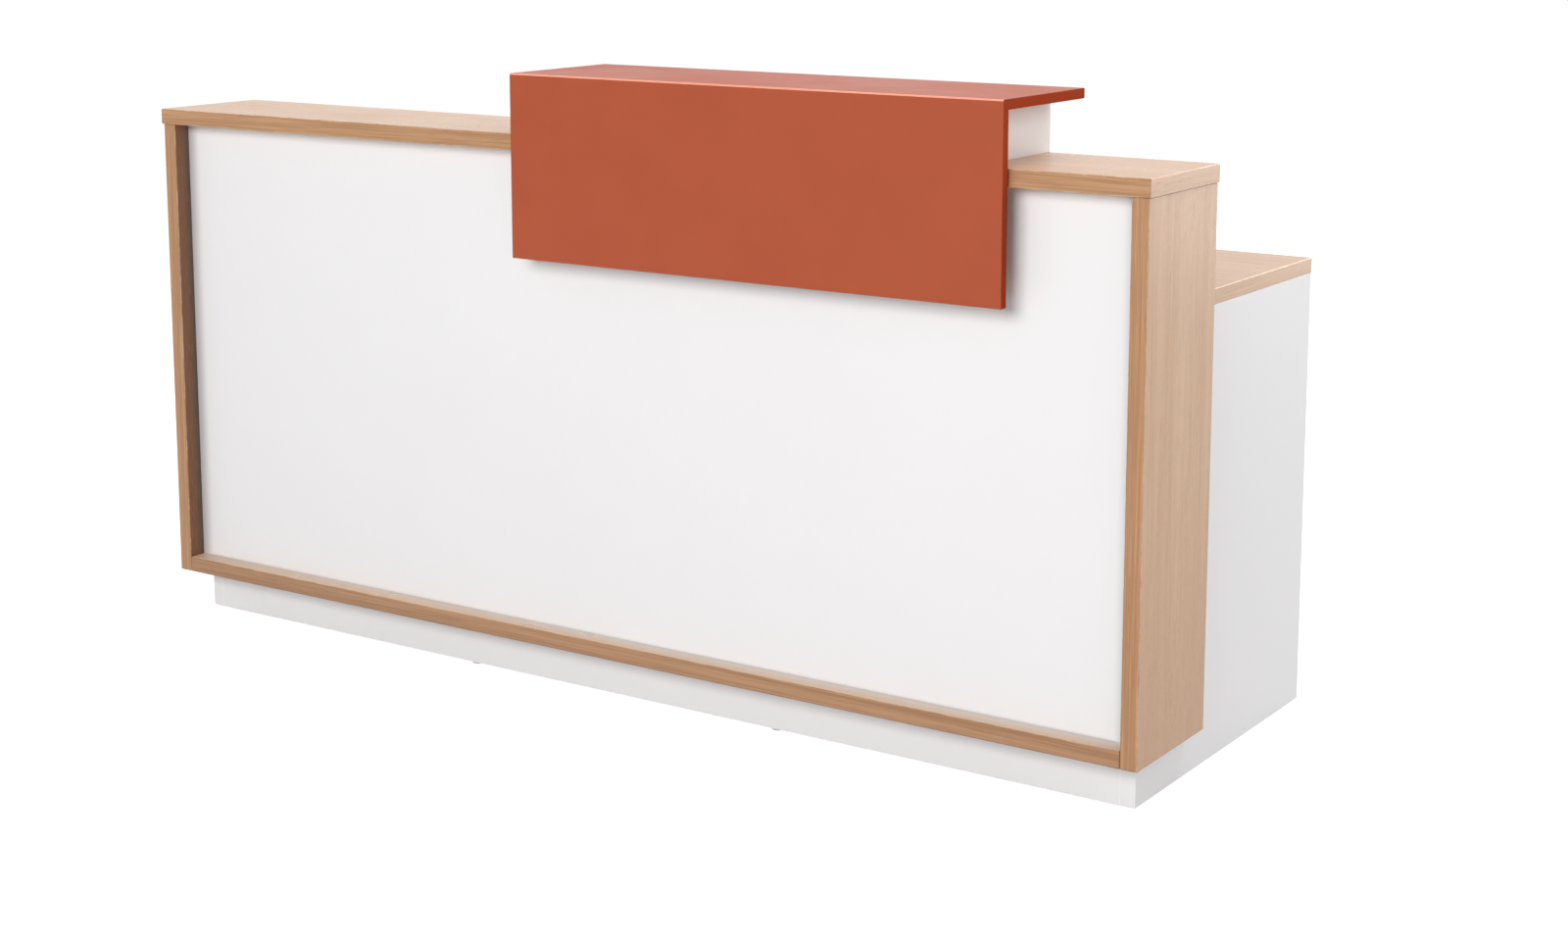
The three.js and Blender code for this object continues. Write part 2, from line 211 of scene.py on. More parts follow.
def build_floor():
    mesh = bpy.data.meshes.new("studio_floor")
    corners = [(-FLOOR_HALF, -FLOOR_HALF, 0), (FLOOR_HALF, -FLOOR_HALF, 0)]
    corners += [(FLOOR_HALF, FLOOR_HALF, 0), (-FLOOR_HALF, FLOOR_HALF, 0)]
    mesh.from_pydata(corners, [], [(0, 1, 2, 3)])
    floor = bpy.data.objects.new("studio_floor", mesh)
    scene.collection.objects.link(floor)
    material = bpy.data.materials.new("studio_floor")
    material.use_nodes = True
    tree = material.node_tree
    tree.nodes.clear()
    glow = tree.nodes.new("ShaderNodeEmission")
    glow.inputs["Strength"].default_value = FLOOR_GLOW
    shade = tree.nodes.new("ShaderNodeBsdfDiffuse")
    shade.inputs["Color"].default_value = (FLOOR_SHADE, FLOOR_SHADE, FLOOR_SHADE, 1)
    bounce = tree.nodes.new("ShaderNodeBsdfDiffuse")
    bounce.inputs["Color"].default_value = FLOOR_BOUNCE
    both = tree.nodes.new("ShaderNodeAddShader")
    choose = tree.nodes.new("ShaderNodeMixShader")
    result = tree.nodes.new("ShaderNodeOutputMaterial")
    tree.links.new(glow.outputs[0], both.inputs[0])
    tree.links.new(shade.outputs[0], both.inputs[1])
    tree.links.new(seen_directly(tree), choose.inputs[0])
    tree.links.new(bounce.outputs[0], choose.inputs[1])
    tree.links.new(both.outputs[0], choose.inputs[2])
    tree.links.new(choose.outputs[0], result.inputs["Surface"])
    mesh.materials.append(material)


def build_world():
    world = bpy.data.worlds.new("studio")
    world.use_nodes = True
    tree = world.node_tree
    background = tree.nodes["Background"]
    background.inputs["Color"].default_value = (1, 1, 1, 1)
    strength = fit(tree, seen_directly(tree), 0.0, 1.0, AMBIENT, 1.0)
    tree.links.new(strength, background.inputs["Strength"])
    scene.world = world


build_floor()
build_world()
scene.view_settings.view_transform = "Standard"
print(f"floor {2 * FLOOR_HALF:.0f} m wide, ambient light {AMBIENT}")

# %% [markdown]
# ## Lamps
# One large soft lamp stands in front of the desk, above the visitor's head: it draws the soft shadows inside
# the recess of the front panel and beside the hanging fascia. A second hangs over the desk and lights what
# looks up. Two more light the end on the visitor's right: a high one to the side, and a low one further back
# that the end mirrors, more at the top than at the bottom, which is what makes satin boards look satin. The
# last two light the receptionist's side and the end on the visitor's left.

# %% Lamps
LAMPS = {
    "key": {"place": (0.95, -6.2, 2.9), "aim": (0.0, -0.3, 0.5), "size": (3.6, 2.6), "power": 289},
    "top": {"place": (1.0, 1.4, 4.4), "aim": (0.4, 0.0, 0.8), "size": (4.0, 2.4), "power": 80},
    "end": {"place": (2.8, 3.4, 0.8), "aim": (0.97, 0.0, 0.8), "size": (2.0, 1.2), "power": 14},
    "side": {"place": (4.4, 0.5, 2.7), "aim": (0.97, 0.0, 0.6), "size": (1.8, 1.8), "power": 45},
    "back": {"place": (1.2, 6.0, 2.6), "aim": (0.0, 0.0, 0.5), "size": (3.0, 2.0), "power": 100},
    "left": {"place": (-4.4, 0.0, 2.6), "aim": (-0.97, 0.0, 0.5), "size": (1.8, 1.8), "power": 46},
}


def add_lamp(name, place, aim, size, power):
    light = bpy.data.lights.new(name, "AREA")
    light.shape = "RECTANGLE"
    light.size, light.size_y = size
    light.energy = power
    lamp = bpy.data.objects.new(name, light)
    lamp.location = place
    lamp.rotation_euler = (Vector(aim) - Vector(place)).to_track_quat("-Z", "Y").to_euler()
    scene.collection.objects.link(lamp)
    return lamp


for lamp_name, setting in LAMPS.items():
    lamp = add_lamp(f"{lamp_name}_lamp", **setting)
    print(f"{lamp.name} at {tuple(round(v, 2) for v in lamp.location)}, {setting['power']} W")

# %% [markdown]
# ## Wood grain
# The frame and the worktop are chipboard with a printed oak decor: straight, fine grain along the length of
# each board, with short dark pores. A photograph of wood could be wrapped round the boards, but noise that
# is stretched along the grain gives the same look at any size, and no seam shows. The group takes a vector
# whose X runs along the grain, and puts out the tone, the pores and a height.

# %% Wood grain group
BAND_LENGTH = 1.1
FIBRE_LENGTH = 0.22
PORE_SLIMNESS = 0.55
PORE_RANGE = (0.61, 0.73)
BAND_SHARE = 0.15
FIBRE_HEIGHT = 0.4
DRIFT_ALONG = 1.3
DRIFT_ACROSS = 4.0


def build_wood_grain():
    tree, given, put = new_group(
        "wood_grain",
        [
            ("Vector", "NodeSocketVector", None),
            ("Band Width", "NodeSocketFloat", 0.022),
            ("Fibre Width", "NodeSocketFloat", 0.0028),
            ("Pore Length", "NodeSocketFloat", 0.035),
            ("Waviness", "NodeSocketFloat", 0.012),
        ],
        ["Tone", "Pores", "Height"],
    )
    along, across, through = separate(tree, given["Vector"])
    slow_along = calc(tree, "MULTIPLY", along, DRIFT_ALONG)
    slow_across = calc(tree, "MULTIPLY", across, DRIFT_ACROSS)
    wander = noise(tree, combine(tree, slow_along, slow_across, through), 1.0, 1.0)
    drift = calc(tree, "MULTIPLY", calc(tree, "SUBTRACT", wander, 0.5), given["Waviness"])
    wavy_across = calc(tree, "ADD", across, drift)
    wavy_through = calc(tree, "ADD", through, drift)

    def streaks(length, width, detail, roughness):
        vector = combine(
            tree,
            calc(tree, "DIVIDE", along, length),
            calc(tree, "DIVIDE", wavy_across, width),
            calc(tree, "DIVIDE", wavy_through, width),
        )
        return noise(tree, vector, 1.0, detail, roughness)

    bands = fit(tree, streaks(BAND_LENGTH, given["Band Width"], 2.0, 0.5), *NOISE_RANGE)
    fibres = streaks(FIBRE_LENGTH, given["Fibre Width"], 3.0, 0.65)
    pore_width = calc(tree, "MULTIPLY", given["Fibre Width"], PORE_SLIMNESS)
    pores = fit(tree, streaks(given["Pore Length"], pore_width, 1.0, 0.5), *PORE_RANGE)
    broad = calc(tree, "MULTIPLY", bands, BAND_SHARE)
    fine = calc(tree, "MULTIPLY", fibres, 1.0 - BAND_SHARE)
    feed(tree, put["Tone"], calc(tree, "ADD", broad, fine))
    feed(tree, put["Pores"], pores)
    feed(tree, put["Height"], calc(tree, "SUBTRACT", calc(tree, "MULTIPLY", fibres, FIBRE_HEIGHT), pores))
    return tree


wood_grain = build_wood_grain()
print(f"{wood_grain.name}: {len(wood_grain.nodes)} nodes")

# %% [markdown]
# ## Pressed surface
# Melamine and laminate are pressed against a steel plate with a fine, shallow relief, and powder coat and
# moulded plastic have a like texture of their own. One group serves them all: a fine relief for the bump,
# and a broad, faint mottle that keeps large flat faces from looking like flat paint.

# %% Pressed surface group
def build_pressed_surface():
    tree, given, put = new_group(
        "pressed_surface",
        [
            ("Vector", "NodeSocketVector", None),
            ("Relief Size", "NodeSocketFloat", 0.002),
            ("Mottle Size", "NodeSocketFloat", 0.25),
        ],
        ["Relief", "Mottle"],
    )

    def spots(size, detail, roughness):
        scale = calc(tree, "DIVIDE", 1.0, size)
        return noise(tree, given["Vector"], scale, detail, roughness)

    feed(tree, put["Relief"], spots(given["Relief Size"], 2.0, 0.6))
    feed(tree, put["Mottle"], fit(tree, spots(given["Mottle Size"], 3.0, 0.55), *NOISE_RANGE))
    return tree


pressed_surface = build_pressed_surface()
print(f"{pressed_surface.name}: {len(pressed_surface.nodes)} nodes")

# %% [markdown]
# ## Eased edges
# Every board has its sharp edges eased by a millimetre or so, and that is where hands, bags and cloths rub
# first. On a board the faces look along an axis and the eased edges look between two axes, so the normal
# alone tells them apart. A little noise breaks the rubbed line up.

# %% Eased edges group
EDGE_RANGE = (0.99, 0.92)
RUB_SCALE = 38.0
RUB_RANGE = (0.42, 0.66)


def build_eased_edges():
    tree, given, put = new_group(
        "eased_edges",
        [("Vector", "NodeSocketVector", None), ("Normal", "NodeSocketVector", None)],
        ["Edge", "Rubbed"],
    )
    x, y, z = (calc(tree, "ABSOLUTE", part) for part in separate(tree, given["Normal"]))
    squareness = calc(tree, "MAXIMUM", calc(tree, "MAXIMUM", x, y), z)
    edge = fit(tree, squareness, *EDGE_RANGE)
    patches = fit(tree, noise(tree, given["Vector"], RUB_SCALE, 3.0, 0.6), *RUB_RANGE)
    # the plain edge mask also places painted highlights on the white boards and along the terracotta fold
    feed(tree, put["Edge"], edge)
    feed(tree, put["Rubbed"], calc(tree, "MULTIPLY", edge, patches))
    return tree


eased_edges = build_eased_edges()
print(f"{eased_edges.name}: {len(eased_edges.nodes)} nodes")

# %% [markdown]
# ## Dust and wiping
# A desk in use is wiped, not polished. What a cloth leaves is a faint change of gloss on faces that look
# up. The group finds those faces by their normal and puts out a patchy mask; each material decides how
# much it shows.

# %% Dust group
UPWARD_RANGE = (0.6, 0.95)
WIPE_SCALE = 5.0
WIPE_RANGE = (0.35, 0.75)


def looks_up(tree, normal):
    """1 on faces that look up, and 0 on faces that stand."""
    return fit(tree, separate(tree, normal)[2], *UPWARD_RANGE)


def build_dust():
    tree, given, put = new_group(
        "dust",
        [("Vector", "NodeSocketVector", None), ("Normal", "NodeSocketVector", None)],
        ["Mask"],
    )
    patches = fit(tree, noise(tree, given["Vector"], WIPE_SCALE, 4.0, 0.6), *WIPE_RANGE)
    feed(tree, put["Mask"], calc(tree, "MULTIPLY", looks_up(tree, given["Normal"]), patches))
    return tree


dust = build_dust()
print(f"{dust.name}: {len(dust.nodes)} nodes")

# %% [markdown]
# ## Finishes
# Each finish starts from the same three things: the point on the object, the direction that the face looks
# in, and a Principled shader. What follows differs by finish, so each has a function of its own. The steps
# that they share are kept here: staining a colour by a mask, dulling the gloss by masks, and the bump.

# %% Start of a finish
FACE_RANGE = (0.6, 0.8)
# share of the rubbed colour on worn edges, and of the painted highlight on the rail's top
RUB_AND_HIGHLIGHT_SHARE = 0.5
WIPE_DULL = 0.1
FINE_RELIEF = 0.00004


def new_finish(name, specular=0.5, metallic=0.0):
    """An empty finish: its tree, the point, the normal and the Principled shader."""
    material = bpy.data.materials.new(name)
    material.use_nodes = True
    tree = material.node_tree
    shader = tree.nodes["Principled BSDF"]
    shader.inputs["Specular IOR Level"].default_value = specular
    shader.inputs["Metallic"].default_value = metallic
    place = tree.nodes.new("ShaderNodeTexCoord")
    return material, tree, place.outputs["Object"], place.outputs["Normal"], shader.inputs


def looks_along(tree, part):
    """1 on faces that look along an axis, given their normal's part on it, and 0 on all others."""
    return fit(tree, part, *FACE_RANGE)


def stain(tree, colour, mask, share, other):
    """Brings another colour in where a mask is set, by a share of it."""
    return tint(tree, calc(tree, "MULTIPLY", mask, share), colour, other)


def dull(tree, roughness, *masks):
    """A roughness that grows by an amount where each mask is set."""
    for mask, amount in masks:
        roughness = calc(tree, "ADD", roughness, calc(tree, "MULTIPLY", mask, amount))
    return roughness


def emboss(tree, height, depth, normal_socket):
    """Turns a height into a bump of that depth, in metres."""
    bump = tree.nodes.new("ShaderNodeBump")
    bump.inputs["Distance"].default_value = depth
    feed(tree, bump.inputs["Height"], height)
    tree.links.new(bump.outputs[0], normal_socket)


print("finishes can start")

# %% [markdown]
# ## Oak decor
# The faces of the boards and the tape on their edges come from different rolls: the tape is a shade deeper.
# The grain runs along the length of a board. On the short ends of a lying board the tape has its own grain,
# along the tape, so the vector turns there. The uprights are painted darker towards the floor, as painted
# shade.

# %% Oak colours and grain
OAK_LIGHT = paint(215, 176, 141)
OAK_DARK = paint(200, 158, 122)
# painted shade: the colour the uprights darken to near the floor
OAK_FOOT_SHADE = paint(188, 142, 102)
TAPE_LIGHT = paint(196, 152, 113)
TAPE_DARK = paint(170, 125, 88)
# heights and share of the painted shade towards the floor
UPRIGHT_SHADE_HEIGHTS = (0.6, 0.1)
UPRIGHT_SHADE_SHARE = 0.6


def lay_grain(tree, point, normal, standing):
    """The point, turned so that its first value runs along the grain."""
    x, y, z = separate(tree, point)
    if standing:
        return combine(tree, z, x, y)
    at_end = looks_along(tree, calc(tree, "ABSOLUTE", separate(tree, normal)[0]))
    swap = calc(tree, "MULTIPLY", at_end, calc(tree, "SUBTRACT", y, x))
    return combine(tree, calc(tree, "ADD", x, swap), calc(tree, "SUBTRACT", y, swap), z)


def colour_oak(tree, point, normal, standing, tone):
    """The colour of the faces alone, and the colour with the tape on the edges; on uprights, painted shade
    low down.
    """
    faces = tint(tree, tone, OAK_DARK, OAK_LIGHT)
    if standing:
        # painted shade: the faces of an upright darken towards the floor
        low = fit(tree, separate(tree, point)[2], *UPRIGHT_SHADE_HEIGHTS, 0.0, UPRIGHT_SHADE_SHARE)
        faces = tint(tree, low, faces, OAK_FOOT_SHADE)
    on_tape = looks_along(tree, calc(tree, "ABSOLUTE", separate(tree, normal)[1]))
    return faces, tint(tree, on_tape, faces, tint(tree, tone, TAPE_DARK, TAPE_LIGHT))


print("oak has its colours and its grain")

# %% [markdown]
# ## Joints and painted light on oak
# Where one board butts against another, the joint shows as a fine dark line. Along the rear and the lower
# edge of the frame a fine painted shadow line is drawn. The strip of the uprights inside the recess is
# painted in shade, going grey by the panel. The rail's top is painted lighter, with a pale painted reflection
# of the panel, and its front in shade.

# %% Joints, recess and painted light
# colour of worn eased edges, and of the painted highlight on the rail's top
OAK_WEAR_AND_HIGHLIGHT = paint(226, 196, 168)
# painted shade for the strip of the uprights in the recess, going to a grey painted shadow by the panel
OAK_REVEAL_SHADE = paint(128, 87, 60)
REVEAL_SHADOW_GREY = paint(96, 84, 76)
# dark colour of the butted joints, also used for the painted shadow line along the frame's rear and lower
# edge
OAK_JOINT_AND_SHADOW = paint(122, 86, 61)
# painted shade on the front of the rail
RAIL_PAINTED_SHADE = (0.86, 0.86, 0.88, 1)
# painted reflection of the white panel on the rail's top: its colour, its share, its thinning on the left and
# where x thins it
RAIL_REFLECTION_GREY = paint(218, 212, 208)
RAIL_REFLECTION_SHARE = 0.75
RAIL_REFLECTION_THIN = 0.5
RAIL_REFLECTION_SPAN = (-0.9, 0.2)
JOINT_WIDTH = 0.0013
JOINT_CORE = 0.6 * JOINT_WIDTH
# width, core and share of the painted shadow line along the frame's rear and lower edge
RIM_SHADOW_WIDTH = 0.0026
RIM_SHADOW_CORE = 0.5 * RIM_SHADOW_WIDTH
RIM_SHADOW_SHARE = 0.5
REVEAL_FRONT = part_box("upright_left")[0][1]
REVEAL_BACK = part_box("front_panel")[0][1]
SHADOW_GREY_FROM = REVEAL_FRONT + 0.014


def paint_reveal_shade(tree, colour, point, normal):
    """Paints shade on the strip of an upright inside the recess, turning to a grey painted shadow where it
    meets the panel.
    """
    x, y, _ = separate(tree, point)
    inner_side = calc(tree, "MULTIPLY", calc(tree, "SIGN", x), -1.0)
    inward = looks_along(tree, calc(tree, "MULTIPLY", inner_side, separate(tree, normal)[0]))
    in_recess = calc(tree, "MULTIPLY", inward, calc(tree, "LESS_THAN", y, REVEAL_BACK))
    # painted shade, with a grey painted shadow towards the panel
    reveal_shade = tint(tree, fit(tree, y, SHADOW_GREY_FROM, REVEAL_BACK), OAK_REVEAL_SHADE, REVEAL_SHADOW_GREY)
    return tint(tree, in_recess, colour, reveal_shade)


def paint_rim_shadow(tree, colour, point, normal):
    """Draws a fine painted shadow line along the rear and the lower edge of the frame."""
    (_, _, bottom), (_, back, _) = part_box("upright_left")
    _, y, z = separate(tree, point)
    on_side = looks_along(tree, calc(tree, "ABSOLUTE", separate(tree, normal)[0]))
    rear = calc(tree, "MULTIPLY", on_side, fit(tree, y, back - RIM_SHADOW_WIDTH, back - RIM_SHADOW_CORE))
    foot = fit(tree, z, bottom + RIM_SHADOW_WIDTH, bottom + RIM_SHADOW_CORE)
    return stain(tree, colour, calc(tree, "MAXIMUM", rear, foot), RIM_SHADOW_SHARE, OAK_JOINT_AND_SHADOW)


def draw_joint(tree, colour, along, end):
    """Draws both butted ends of a board as a fine dark line."""
    line = fit(tree, calc(tree, "ABSOLUTE", along), end - JOINT_WIDTH, end - JOINT_CORE)
    return tint(tree, line, colour, OAK_JOINT_AND_SHADOW)


def paint_rail_light(tree, colour, faces, point, normal):
    """Painted light on the rail: a highlight on its top, a pale reflection of the panel that fades to the
    left and the front, and shade on its front.
    """
    x, y, _ = separate(tree, point)
    inward = fit(tree, y, REVEAL_FRONT, REVEAL_BACK, 0.0, RAIL_REFLECTION_SHARE)
    share = calc(tree, "MULTIPLY", inward, fit(tree, x, *RAIL_REFLECTION_SPAN, RAIL_REFLECTION_THIN, 1.0))
    # painted highlight over the top, and painted reflection of the panel towards the back
    top = tint(tree, share, tint(tree, RUB_AND_HIGHLIGHT_SHARE, faces, OAK_WEAR_AND_HIGHLIGHT), RAIL_REFLECTION_GREY)
    # painted shade on the front face
    return tint(tree, looks_up(tree, normal), tint(tree, 1.0, colour, RAIL_PAINTED_SHADE, "MULTIPLY"), top)


print(f"recess from {REVEAL_FRONT:.4f} to {REVEAL_BACK:.4f}")

# %% [markdown]
# ## Oak finishes
# Three finishes come of this. The slab and the worktop lie, the uprights stand and end at the slab, and the
# rail lies between the uprights, with painted light on its top and painted shade on its front.

# %% Oak finishes
OAK_PORE = paint(140, 100, 70)
OAK_SPECULAR = 0.35
OAK_ROUGHNESS = 0.27
TONE_RANGE = (0.32, 0.68)
PORE_SHARE = 0.45
PORE_DULL = 0.05
OAK_WIPE_DULL = 0.08
LYING_RELIEF = 0.000015


def build_oak(name, standing, joint=None, painted_rail_light=False):
    material, tree, point, normal, shader = new_finish(name, OAK_SPECULAR)
    grain = use_group(tree, wood_grain, Vector=lay_grain(tree, point, normal, standing))
    edges = use_group(tree, eased_edges, Vector=point, Normal=normal)
    wiped = use_group(tree, dust, Vector=point, Normal=normal)
    tone = fit(tree, grain["Tone"], *TONE_RANGE)
    faces, colour = colour_oak(tree, point, normal, standing, tone)
    if standing:
        # painted shade on the strip inside the recess
        colour = paint_reveal_shade(tree, colour, point, normal)
        # painted shadow line along the rear and the lower edge
        colour = paint_rim_shadow(tree, colour, point, normal)
    colour = stain(tree, colour, grain["Pores"], PORE_SHARE, OAK_PORE)
    colour = stain(tree, colour, edges["Rubbed"], RUB_AND_HIGHLIGHT_SHARE, OAK_WEAR_AND_HIGHLIGHT)
    if painted_rail_light:
        # painted light on the rail: highlight and reflection on its top, shade on its front
        colour = paint_rail_light(tree, colour, faces, point, normal)
        # painted shadow line along the rail's lower edge
        colour = paint_rim_shadow(tree, colour, point, normal)
    if joint:
        x, _, z = separate(tree, point)
        colour = draw_joint(tree, colour, z if standing else x, joint)
    feed(tree, shader["Base Color"], colour)
    masks = ((grain["Pores"], PORE_DULL), (wiped["Mask"], OAK_WIPE_DULL))
    feed(tree, shader["Roughness"], dull(tree, OAK_ROUGHNESS, *masks))
    emboss(tree, grain["Height"], FINE_RELIEF if standing else LYING_RELIEF, shader["Normal"])
    return material


oak_lying = build_oak("oak_lying", standing=False)
oak_rail = build_oak("oak_rail", standing=False, joint=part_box("bottom_rail")[1][0], painted_rail_light=True)
oak_standing = build_oak("oak_standing", standing=True, joint=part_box("upright_left")[1][2])
print(f"{oak_lying.name}, {oak_rail.name} and {oak_standing.name}")

# %% [markdown]
# ## White melamine
# The front panel, the plinth, the end panels and the riser are white melamine: not quite white, satin, with
# a barely visible pearl texture; their eased edges carry a painted highlight. The front panel sits in a
# recess, and painted shade greys it a little along its sides and its foot.

# %% White finish
WHITE = paint(238, 237, 238)
WHITE_DEEP = paint(237, 236, 237)
# painted highlight along the eased edges of the white boards
WHITE_EDGE_HIGHLIGHT = paint(252, 252, 252)
WHITE_ROUGHNESS = 0.40
WHITE_MOTTLE_DULL = 0.06
# share of the painted edge highlight
EDGE_HIGHLIGHT_SHARE = 0.6
# painted shade along the sides and the foot of the front panel in its recess
CORNER_SHADE_GREY = paint(120, 118, 117)
CORNER_SHADE_SHARE = 0.55
CORNER_SHADE_REACH = 0.03
CORNER_SHADE_FOOT_START = 0.45 * CORNER_SHADE_REACH
CORNER_SHADE_STEEPNESS = 3.0


def find_shaded_corners(tree, point, box):
    """Painted shade mask: 1 along the sides and the foot of a recessed board, and 0 from the reach of that
    shade inwards.
    """
    (left, _, bottom), (right, _, _) = box
    x, _, z = separate(tree, point)
    sides = calc(tree, "MINIMUM", calc(tree, "SUBTRACT", x, left), calc(tree, "SUBTRACT", right, x))
    rise = calc(tree, "MULTIPLY", calc(tree, "SUBTRACT", z, bottom), CORNER_SHADE_STEEPNESS)
    nearest = calc(tree, "MINIMUM", sides, calc(tree, "ADD", rise, CORNER_SHADE_FOOT_START))
    return fit(tree, nearest, CORNER_SHADE_REACH, 0.0)


def build_white(name, recess=None):
    material, tree, point, normal, shader = new_finish(name)
    surface = use_group(tree, pressed_surface, Vector=point, Relief_Size=0.0022, Mottle_Size=0.35)
    edges = use_group(tree, eased_edges, Vector=point, Normal=normal)
    wiped = use_group(tree, dust, Vector=point, Normal=normal)
    colour = tint(tree, surface["Mottle"], WHITE_DEEP, WHITE)
    # painted highlight along every eased edge
    colour = stain(tree, colour, edges["Edge"], EDGE_HIGHLIGHT_SHARE, WHITE_EDGE_HIGHLIGHT)
    if recess:
        # painted shade in the corners of the recess
        colour = stain(tree, colour, find_shaded_corners(tree, point, recess), CORNER_SHADE_SHARE, CORNER_SHADE_GREY)
    feed(tree, shader["Base Color"], colour)
    masks = ((surface["Mottle"], WHITE_MOTTLE_DULL), (wiped["Mask"], WIPE_DULL))
    feed(tree, shader["Roughness"], dull(tree, WHITE_ROUGHNESS, *masks))
    emboss(tree, surface["Relief"], FINE_RELIEF, shader["Normal"])
    return material


white_melamine = build_white("white_melamine")
white_recessed = build_white("white_recessed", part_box("front_panel"))
print(f"{white_melamine.name} and {white_recessed.name}")

# %% [markdown]
# ## Terracotta laminate
# The shelf and its fascia are one folded shape in a matt earth red. The eased edge along the fold is painted
# as a thin pale line, a painted highlight. The tape on the ends is duller and deeper.

# %% Terracotta finish
TERRACOTTA = paint(172, 82, 53)
TERRACOTTA_DEEP = paint(169, 80, 51)
TERRACOTTA_RUBBED = paint(206, 118, 90)
# painted highlight along the fold
TERRACOTTA_FOLD_HIGHLIGHT = paint(248, 166, 138)
TERRACOTTA_END = paint(163, 64, 34)
TERRACOTTA_ROUGHNESS = 0.38
TERRACOTTA_SPECULAR = 0.2
END_DULL = 0.4
END_SPECULAR = 0.03
# normals of the eased fold that take the painted highlight
FOLD_HIGHLIGHT_RANGE = (0.9, 1.2)


def build_terracotta():
    material, tree, point, normal, shader = new_finish("terracotta_laminate")
    surface = use_group(tree, pressed_surface, Vector=point, Relief_Size=0.0015, Mottle_Size=0.12)
    edges = use_group(tree, eased_edges, Vector=point, Normal=normal)
    wiped = use_group(tree, dust, Vector=point, Normal=normal)
    nx, ny, nz = separate(tree, normal)
    # mask for the painted highlight along the fold
    fold_highlight = fit(tree, calc(tree, "SUBTRACT", nz, ny), *FOLD_HIGHLIGHT_RANGE)
    at_end = looks_along(tree, calc(tree, "ABSOLUTE", nx))
    colour = tint(tree, surface["Mottle"], TERRACOTTA_DEEP, TERRACOTTA)
    colour = stain(tree, colour, edges["Rubbed"], RUB_AND_HIGHLIGHT_SHARE, TERRACOTTA_RUBBED)
    # painted highlight on the eased edge along the fold
    colour = stain(tree, colour, edges["Edge"], fold_highlight, TERRACOTTA_FOLD_HIGHLIGHT)
    feed(tree, shader["Base Color"], tint(tree, at_end, colour, TERRACOTTA_END))
    specular = fit(tree, at_end, 0.0, 1.0, TERRACOTTA_SPECULAR, END_SPECULAR)
    feed(tree, shader["Specular IOR Level"], specular)
    masks = ((at_end, END_DULL), (wiped["Mask"], WIPE_DULL))
    feed(tree, shader["Roughness"], dull(tree, TERRACOTTA_ROUGHNESS, *masks))
    emboss(tree, surface["Relief"], FINE_RELIEF, shader["Normal"])
    return material


terracotta = build_terracotta()
print(terracotta.name)

# %% [markdown]
# ## Steel, nylon and plastic
# The hidden hardware: powder-coated steel for the beam and brackets, bright zinc for sockets and screws,
# white nylon for the feet, grey plastic for the cable ports and white for the cover caps. They differ by
# colour, gloss and relief, so one function makes them all from a short list of values.

# %% Hardware finishes
HARDWARE = {
    "grey_steel": {"light": (176, 178, 180), "deep": (164, 166, 168), "gloss": 0.42, "relief": 0.0012,
                   "depth": 0.00005, "metallic": 0.0},
    "zinc_steel": {"light": (205, 207, 206), "deep": (172, 176, 178), "gloss": 0.26, "relief": 0.003,
                   "depth": 0.00002, "metallic": 1.0},
    "white_nylon": {"light": (226, 225, 223), "deep": (219, 218, 216), "gloss": 0.5, "relief": 0.0008,
                    "depth": 0.00004, "metallic": 0.0},
    "grey_plastic": {"light": (190, 192, 193), "deep": (180, 182, 184), "gloss": 0.46, "relief": 0.0007,
                     "depth": 0.00004, "metallic": 0.0},
    "white_plastic": {"light": (236, 235, 235), "deep": (229, 228, 228), "gloss": 0.38, "relief": 0.0009,
                      "depth": 0.00003, "metallic": 0.0},
}
HARDWARE_MOTTLE = 0.02
HARDWARE_MOTTLE_DULL = 0.08


def build_hardware(name, light, deep, gloss, relief, depth, metallic):
    material, tree, point, normal, shader = new_finish(name, metallic=metallic)
    sizes = {"Relief_Size": relief, "Mottle_Size": HARDWARE_MOTTLE}
    surface = use_group(tree, pressed_surface, Vector=point, **sizes)
    wiped = use_group(tree, dust, Vector=point, Normal=normal)
    feed(tree, shader["Base Color"], tint(tree, surface["Mottle"], paint(*deep), paint(*light)))
    masks = ((surface["Mottle"], HARDWARE_MOTTLE_DULL), (wiped["Mask"], WIPE_DULL))
    feed(tree, shader["Roughness"], dull(tree, gloss, *masks))
    emboss(tree, surface["Relief"], depth, shader["Normal"])
    return material


hardware = {name: build_hardware(name, **values) for name, values in HARDWARE.items()}
print(", ".join(hardware))

# %% [markdown]
# ## Dressing the frame
# Every piece of the frame takes one finish. The names of the pieces say which, so a list of name starts is
# enough; a piece that no line covers would stop the script. The first line that fits counts, so the beam and
# the brackets stand above the worktop, and the sockets above the feet.

# %% Dress the frame
DRESS = (
    ("upright_", oak_standing),
    ("counter_top", oak_lying),
    ("bottom_rail", oak_rail),
    ("worktop_beam", hardware["grey_steel"]),
    ("worktop_bracket_", hardware["grey_steel"]),
    ("counter_bracket_", hardware["grey_steel"]),
    ("beam_plate_", hardware["grey_steel"]),
    ("worktop", oak_lying),
    ("front_panel", white_recessed),
    ("plinth", white_melamine),
    ("end_panel_", white_melamine),
    ("riser_", white_melamine),
    ("shelf_", terracotta),
    ("foot_socket_", hardware["zinc_steel"]),
    ("foot_", hardware["white_nylon"]),
    ("grommet_", hardware["grey_plastic"]),
)


def dress(piece_name, piece):
    finish = next(material for start, material in DRESS if piece_name.startswith(start))
    piece.data.materials.clear()
    piece.data.materials.append(finish)
    return finish.name


worn = [dress(name, piece) for name, piece in nodes.items()]
print({name: worn.count(name) for name in sorted(set(worn))})

